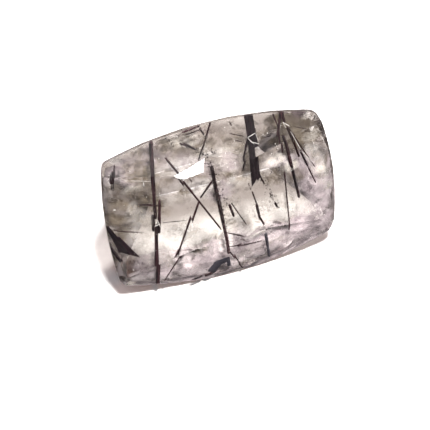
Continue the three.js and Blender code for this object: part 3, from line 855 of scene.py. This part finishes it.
VEIL_FINISHES = {  # pale and dark colour, how much they cover, how far the clear pools part them
    "brown_veils": ((0.26, 0.22, 0.165), (0.070, 0.052, 0.036), 0.40, 0.8),
    "lilac_veils": ((0.65, 0.585, 0.61), (0.32, 0.265, 0.29), 0.38, 0.8),
    # the pale cream of the painted highlights, not thinned in the clear pools
    "cream_painted_highlight_veils": ((0.88, 0.845, 0.81), (0.62, 0.57, 0.51), 0.48, 0.0),
    # the pale colour and dense cover of the painted light at the front
    "pearly_painted_light_veils": ((0.76, 0.70, 0.72), (0.62, 0.555, 0.575), 0.75, 0.0),
}
print("veil finishes:", len(VEIL_FINISHES))

# %% [markdown]
# All veils of a kind are joined and share one finish. They throw no shadow, because the tint of
# the underside already stands for the light that the haze holds back.

# %% Hanging the veils
SHRED_SIZES = 0.35, 1.15
SHRED_TILT = 22
SHRED_BEND = 0.3


def shreds(middle, half_sizes, count, seed):
    """Small veils, strewn evenly through a box of the stone."""
    sheets = []
    for number in range(count):
        place = [m + h * random.uniform(-1, 1) for m, h in zip(middle, half_sizes)]
        size = random.uniform(*SHRED_SIZES)
        tilt = (random.gauss(0, SHRED_TILT), random.gauss(0, SHRED_TILT))
        if is_inside(Vector(place), VEIL_SKIN):
            sizes = (size, size * random.uniform(0.5, 1.0))
            sheets.append(veil(place, sizes, tilt, SHRED_BEND, seed + number, SHRED_STEPS))
    return sheets


for name, rows in VEILS.items():
    sheets = [veil(*row, seed=10 * len(name) + 3 * number) for number, row in enumerate(rows)]
    for number, row in enumerate(SHREDS[name]):
        sheets += shreds(*row, seed=100 + 40 * number)
    veils = join(sheets, name)
    veils.data.materials.append(veil_material(name[:-1], *VEIL_FINISHES[name]))
    veils.visible_shadow = False
    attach(veils, "root")
    print(name, "sheets:", len(sheets), "faces:", len(veils.data.polygons))

# %% [markdown]
# Under a loupe the stone is full of small things: grains of the needles' mineral, and bubbles and
# open flakes that flash white. The flakes are given a bright white colour, which is partly their
# own and partly a painted sparkle. Each is a low ico sphere, squashed, turned and stretched on its
# own, so no two are alike. They follow the broken needles, and the rest are scattered.

# %% Grains and flakes
TRAILS = [  # start, end, how many, how wide the trail is, for dark grains along broken needles
    ((-0.15, 3, -0.3), (-0.2, 0.4, 0.2), 190, 0.3),
    ((-0.2, 0.6, 0.1), (-0.1, -2.2, 0.3), 70, 0.2),
    ((0.2, 1, 0.1), (0.45, -0.4, 0.2), 26, 0.16),
    ((3.2, 0.95, 0.1), (4.1, -1.5, 0.2), 46, 0.36),
    ((3.43, 0.35, -0.3), (3.75, -1, -0.2), 16, 0.12),
    ((2.3, 0.95, -0.1), (2.45, 0.3, 0.1), 6, 0.06),
    ((-0.4, 3.2, 0.3), (0.45, 3.9, 0.2), 26, 0.3),
    ((-1.9, 5.1, 0.05), (-0.3, 3.5, 0), 60, 0.22),
    ((-0.4, 6, 0), (-0.1, 4.9, 0), 26, 0.12),
    ((-2.9, 5.9, 0), (-2.6, 5.1, 0), 14, 0.12),
    ((-7.9, -3.1, -0.1), (-6.6, -3.6, -0.2), 16, 0.2),
    ((3.6, 0.6, -0.6), (4.9, 1.4, -0.7), 26, 0.35),
    ((-2.4, -5.2, -0.1), (-1.4, -5.7, -0.1), 8, 0.15),
]
# white flakes whose sparkle is painted into their white colour
SPARKLES = [  # white flakes that show singly
    (-7.27, 1.61, 0.3), (-6.34, 4.19, 0.6), (-8.04, 1.39, 0.2), (-5.54, 3.44, 0.8),
    (5.29, -4.02, 0.3), (6.21, -5.09, 0.2), (5.69, 0.92, 0.3), (8.18, 0.9, 0.3),
    (1.67, 2.68, 0.3), (1.95, -0.4, 0.2), (-0.76, -5.18, 0), (-7.26, -3.49, 0.2),
    (-7.71, -3.84, 0.1), (6.73, 2.26, 0.35), (8.35, -0.1, 0.2), (-7.1, 1.1, 0.1),
    (-6.95, 0.7, 0.1), (2.2, 3.1, 0.3), (0.9, 1.3, 0.1), (4.6, -3.6, 0.2),
]
GRAIN_SKIN = 0.12


def random_turn():
    axis = Vector((random.uniform(-1, 1), random.uniform(-1, 1), random.uniform(-1, 1)))
    return Matrix.Rotation(random.uniform(0, pi), 3, axis.normalized())


def grain(place, size, stretch):
    """One small body at a place in the stone; stretch gives its three proportions."""
    deselect()
    bpy.ops.mesh.primitive_ico_sphere_add(subdivisions=1, radius=1)
    body = bpy.context.object
    turn = random_turn()
    for vertex in body.data.vertices:
        uneven = vertex.co * random.uniform(0.75, 1.2)
        local = Vector((uneven[i] * stretch[i] for i in range(3))) * size
        vertex.co = in_stone(*(Vector(place) + turn @ local))
    return body


TRAIL_DEPTH = 0.08
STONE_ROOM = (-9, 9), (-6, 6), (-3.5, 1.2)
SCATTERED_GRAINS, SCATTERED_FLAKES = 90, 170
GRAIN_SIZES, SCATTERED_GRAIN_SIZES = (0.022, 0.070), (0.014, 0.034)
FLAKE_SIZES, SCATTERED_FLAKE_SIZES = (0.045, 0.085), (0.020, 0.055)


def between(start, end, width):
    share = random.random()
    spreads = width / 2, width / 2, TRAIL_DEPTH
    return Vector(start).lerp(Vector(end), share) + Vector([random.gauss(0, s) for s in spreads])


def scattered():
    while True:
        place = Vector([random.uniform(*room) for room in STONE_ROOM])
        if is_inside(place, GRAIN_SKIN):
            return place


dark_places = [between(start, end, width)
               for start, end, count, width in TRAILS for _ in range(count)]
dark_grains = [grain(place, random.uniform(*GRAIN_SIZES), (1.0, 0.7, random.uniform(0.4, 1.6)))
               for place in dark_places if is_inside(place, GRAIN_SKIN)]
dark_grains += [grain(scattered(), random.uniform(*SCATTERED_GRAIN_SIZES), (1, 0.8, 1.3))
                for _ in range(SCATTERED_GRAINS)]
white_flakes = [grain(place, random.uniform(*FLAKE_SIZES), (1.0, 0.8, 0.25)) for place in SPARKLES]
white_flakes += [grain(scattered(), random.uniform(*SCATTERED_FLAKE_SIZES), (1.0, 0.8, 0.3))
                 for _ in range(SCATTERED_FLAKES)]
print("grains:", len(dark_grains), "flakes:", len(white_flakes))

# %% [markdown]
# Up close no grain and no flake is of one colour, so its finish runs between two. The hair needles
# and the slits further on are finished in the same way.

# %% Finishes of the small things
MOTTLE = 9.0, 3.0, 0.35, 0.65


def small_material(name, low, high, roughness):
    material, nodes, links, shader = new_material(name)
    tree = material.node_tree
    mottle = cloud_mask(tree, stone_coordinates(nodes, links), *MOTTLE)
    links.new(blended(tree, mottle, low, high), shader.inputs["Base Color"])
    shader.inputs["Roughness"].default_value = roughness
    return material


def finished(pieces, name, *finish):
    """Small pieces joined into one object with its own finish."""
    whole = join(pieces, name)
    whole.data.materials.append(small_material(name[:-1], *finish))
    print(name, "faces:", len(whole.data.polygons))
    return whole


grains = finished(dark_grains, "dark_grains", (0.002, 0.001, 0.002), (0.020, 0.011, 0.011), 0.4)
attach(grains, "root")
# bright white: the flakes' own colour together with a painted sparkle
sparkle_flakes = finished(white_flakes, "white_flakes", (0.82, 0.80, 0.78), (0.96, 0.95, 0.93), 0.25)
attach(sparkle_flakes, "root")

# %% [markdown]
# Some marks are too fine to be parts of their own: hair needles and dashes between the big
# crystals, and slits where the quartz has cracked open along a needle, coloured near white as a
# painted glint of the open crack. A mark is a spindle, thickest in the middle, laid from one
# place in the stone to another.

# %% Hair needles and painted glint slits
HAIRS = [  # start, end, greatest width in millimetres
    ((-6.15, 1.37, 0.2), (-5, 1.15, 0.2), 0.1), ((6.64, 4.2, 0.2), (7.92, 3.52, 0.2), 0.07),
    ((7.89, 2.72, 0.2), (8.8, 2.4, 0.2), 0.05), ((-1.87, 5.23, 0.2), (-0.78, 4.15, 0.2), 0.16),
    ((-1.66, 5.75, 0.2), (-0.3, 5.9, 0.2), 0.14), ((-0.34, 6.05, 0.1), (-0.15, 5.3, 0.2), 0.15),
    ((1.99, 5.95, 0.2), (2.1, 5.5, 0.2), 0.12), ((1.74, 4.96, 0.2), (2.81, 4.38, 0.2), 0.1),
    ((2, 4.3, 0.2), (2.55, 3.95, 0.2), 0.09), ((-2.05, 2.6, 0.3), (-1.88, 2.18, 0.3), 0.1),
    ((3.62, -0.3, 0.2), (3.74, -0.6, 0.2), 0.11), ((0.02, -3.58, 0.3), (2.43, -3.8, 0.2), 0.11),
    ((0, -2.62, 0.3), (1.19, -3.28, 0.2), 0.09), ((-7.4, 4.7, 0.3), (-7.52, 3.9, 0.3), 0.1),
    ((-5.05, 0.6, 0.3), (-4.75, 1.75, 0.4), 0.09), ((-4.86, 1.05, 0.4), (-4.6, 1.02, 0.4), 0.08),
]
# open cracks along the needles, drawn near white as painted glints
GLINT_SLITS = [  # start, end, greatest width
    ((3, 4.31, 0.45), (3.72, 4.56, 0.45), 0.055), ((3, 4.33, 0.45), (3.42, 3.6, 0.45), 0.050),
    ((3.1, 3.98, 0.45), (3.8, 3.52, 0.45), 0.050), ((3.7, 4.56, 0.45), (3.76, 3.95, 0.45), 0.035),
    ((5.97, 4.82, 0.35), (6.45, 4.3, 0.35), 0.045), ((5.98, 4.8, 0.35), (6.12, 4.24, 0.35), 0.040),
    ((6.36, 3.95, 0.35), (6.8, 2.4, 0.4), 0.045), ((6.84, 2.3, 0.35), (7.54, 1.05, 0.3), 0.040),
    ((-5.33, -0.66, 0.45), (-5.03, -0.12, 0.45), 0.060),
    ((-5.03, -0.12, 0.45), (-4.92, -0.82, 0.45), 0.050),
    ((-5.36, -0.62, 0.45), (-4.9, -0.5, 0.45), 0.050),
    ((-5.48, 3.25, 0.7), (-5.52, 2.85, 0.75), 0.070),
    ((-7.24, 3.8, 0.35), (-6.55, 3.58, 0.55), 0.030),
    ((-6.6, 3.6, 0.55), (-4.9, 3.18, 0.8), 0.030), ((1.85, -3.9, 0.3), (2.2, -3.2, 0.3), 0.030),
]
SPINDLE_SIDES, SPINDLE_RINGS = 6, 5


def spindle(start, end, width):
    deselect()
    bpy.ops.mesh.primitive_uv_sphere_add(segments=SPINDLE_SIDES, ring_count=SPINDLE_RINGS, radius=1)
    body = bpy.context.object
    start, end = Vector(start), Vector(end)
    turn = (end - start).to_track_quat("Z", "X").to_matrix()
    for vertex in body.data.vertices:
        uneven = random.uniform(0.8, 1.15) * width / 2
        lengthwise = vertex.co.z * (end - start).length / 2
        local = Vector((vertex.co.x * uneven, vertex.co.y * uneven, lengthwise))
        vertex.co = in_stone(*((start + end) / 2 + turn @ local))
    return body


def laid_inside(rows):
    """Spindles for the rows whose two ends both lie in the quartz."""
    kept = [(start, end, width) for start, end, width in rows
            if is_inside(Vector(start), width) and is_inside(Vector(end), width)]
    if len(kept) < len(rows):
        print("left out, too near the surface:", len(rows) - len(kept))
    return [spindle(*row) for row in kept]


hairs = finished(
    laid_inside(HAIRS), "hair_needles", (0.004, 0.002, 0.003), (0.030, 0.016, 0.016), 0.4)
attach(hairs, "root")
# near-white finish: a painted glint on the open cracks
glint_slits = finished(
    laid_inside(GLINT_SLITS), "bright_slits", (0.86, 0.83, 0.80), (0.98, 0.96, 0.94), 0.3)
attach(glint_slits, "root")

# %% [markdown]
# The floor is white paper, wide enough to fill every view. It lies a hair below the stone so that
# the two never share a surface. The paper's faint fibres are noise in its colour. The photo's
# paper is lit past white, and a mirror image of it would haze the front facets, so glossy rays
# don't see the floor.

# %% Floor
FLOOR_DROP = 0.05 * MM
FLOOR_SIZE = 1.2
PAPER, FIBRE = (0.86, 0.855, 0.86), (0.90, 0.895, 0.90)
FIBRES = 2.0, 5.0, 0.3, 0.7

deselect()
bpy.ops.mesh.primitive_plane_add(size=FLOOR_SIZE, location=(0, 0, -FLOOR_DROP))
floor = bpy.context.object
floor.name = "floor"
paper, nodes, links, shader = new_material("white_paper")
vector = mapped(nodes, links, (0, 0, 0), (0, 0, 0))
fibres = cloud_mask(paper.node_tree, vector, *FIBRES)
links.new(blended(paper.node_tree, fibres, PAPER, FIBRE), shader.inputs["Base Color"])
shader.inputs["Roughness"].default_value = 0.9
floor.data.materials.append(paper)
floor.visible_glossy = False
print("floor side in metres:", FLOOR_SIZE)

# %% [markdown]
# The camera looks steeply down, a little from the left. Its distance and lens are set so that one
# millimetre of the stone covers a known number of pixels, and one place in the stone is laid on
# one pixel of the picture.

# %% Camera
VIEW_ELEVATION = 70.0
VIEW_TURN = 15.76
VIEW_DISTANCE = 0.35
PIXELS_PER_MM = 12.98
IMAGE_WIDTH = 430
AIM_PLACE = (-0.184, 0.015, 0.0)
AIM_RIGHT, AIM_UP = 2 / PIXELS_PER_MM, 17 / PIXELS_PER_MM

turn, rise = radians(VIEW_TURN), radians(VIEW_ELEVATION)
towards = Vector((-sin(turn) * cos(rise), -cos(turn) * cos(rise), sin(rise)))
rightwards = Vector((cos(turn), -sin(turn), 0))
upwards = towards.cross(rightwards)
aim = in_stone(*AIM_PLACE) - (rightwards * AIM_RIGHT + upwards * AIM_UP) * MM

data = bpy.data.cameras.new("camera")
camera = bpy.data.objects.new("camera", data)
bpy.context.scene.collection.objects.link(camera)
camera.location = aim + towards * VIEW_DISTANCE
camera.rotation_euler = towards.to_track_quat("Z", "Y").to_euler()
data.lens = PIXELS_PER_MM * data.sensor_width * (VIEW_DISTANCE / MM) / IMAGE_WIDTH
data.clip_start = 0.01
bpy.context.scene.camera = camera
print("lens in mm:", round(data.lens, 1))

# %% [markdown]
# One strong lamp stands high above, a little behind the stone and to its right, so the shadow
# falls forward and to the left. It is far off, so the paper is lit evenly up to its edge, and
# mirror and glass rays don't see it, because they would show its square shape.
#
# A facet shines only where a light stands in its mirror direction. Three small lights are put
# there: one for the white star facet, one for the glints on the crown's edges, and a dim broad
# one that greys the facet at the back left.

# %% Lights
KEY_DIRECTION, KEY_DISTANCE, KEY_SIZE, KEY_BRIGHTNESS = (0.26, 0.38, 1.0), 2.4, 0.40, 290.0
KEY_COLOUR = (1.0, 0.985, 0.96)
GLINT_DISTANCE = 0.5
GLINTS = [  # direction as the camera sees it (right, up, towards it), size, brightness
    ("star_glint", (0.165, -0.181, 0.970), 0.030, 26.0),
    ("edge_glint", (0.08, -0.15, 0.98), 0.05, 12.0),
    ("back_left_panel", (-0.1409, 0.3382, 0.9306), 0.10, 0.6),
]


def soft_light(name, direction, distance, size, brightness, colour=(1, 1, 1)):
    """A square light; brightness is what its surface shows, so its power grows with its area."""
    data = bpy.data.lights.new(name, "AREA")
    data.shape = "SQUARE"
    data.size = size
    data.energy = brightness * pi * size * size
    data.color = colour
    light = bpy.data.objects.new(name, data)
    bpy.context.scene.collection.objects.link(light)
    direction = Vector(direction).normalized()
    light.location = direction * distance
    light.rotation_euler = direction.to_track_quat("Z", "Y").to_euler()
    light.visible_transmission = False
    return light


key = soft_light("key", KEY_DIRECTION, KEY_DISTANCE, KEY_SIZE, KEY_BRIGHTNESS, KEY_COLOUR)
key.visible_glossy = False
for name, (right, up, near), size, brightness in GLINTS:
    direction = rightwards * right + upwards * up + towards * near
    soft_light(name, direction, GLINT_DISTANCE, size, brightness)
print("lights:", 1 + len(GLINTS))

# %% [markdown]
# Glass shows what stands around it. Dim walls under a brighter ceiling give the facets their
# contrast, and the change from one to the other is read from the height of a direction. The
# camera itself sees plain white past the paper's edge.

# %% Surroundings
DIM_WALLS, CEILING = (0.18, 0.158, 0.166), (0.54, 0.495, 0.512)
HORIZON = 0.35, 0.80  # between these heights of a direction the walls turn into the ceiling
BACKDROP = (1.0, 1.0, 1.0)

world = bpy.data.worlds.new("studio")
bpy.context.scene.world = world
world.use_nodes = True
tree, nodes, links = world.node_tree, world.node_tree.nodes, world.node_tree.links
place, apart = nodes.new("ShaderNodeTexCoord"), nodes.new("ShaderNodeSeparateXYZ")
links.new(place.outputs["Generated"], apart.inputs[0])
around = blended(tree, eased(tree, apart.outputs["Z"], *HORIZON), DIM_WALLS, CEILING)
path = nodes.new("ShaderNodeLightPath")
links.new(blended(tree, path.outputs["Is Camera Ray"], around, BACKDROP),
          nodes["Background"].inputs["Color"])
print("world:", world.name)

# %% [markdown]
# Light crosses many surfaces in a stone with needles in it, so it is given many bounces before a
# ray is dropped as black. Caustics are off, because the tinted shadow rays stand in for them.

# %% Ways of the light
scene = bpy.context.scene
scene.view_settings.view_transform = "Standard"
scene.cycles.max_bounces = 24
scene.cycles.transmission_bounces = 20
scene.cycles.glossy_bounces = 12
scene.cycles.transparent_max_bounces = 24
scene.cycles.caustics_refractive = False
scene.cycles.caustics_reflective = False
print("bounces:", scene.cycles.max_bounces)
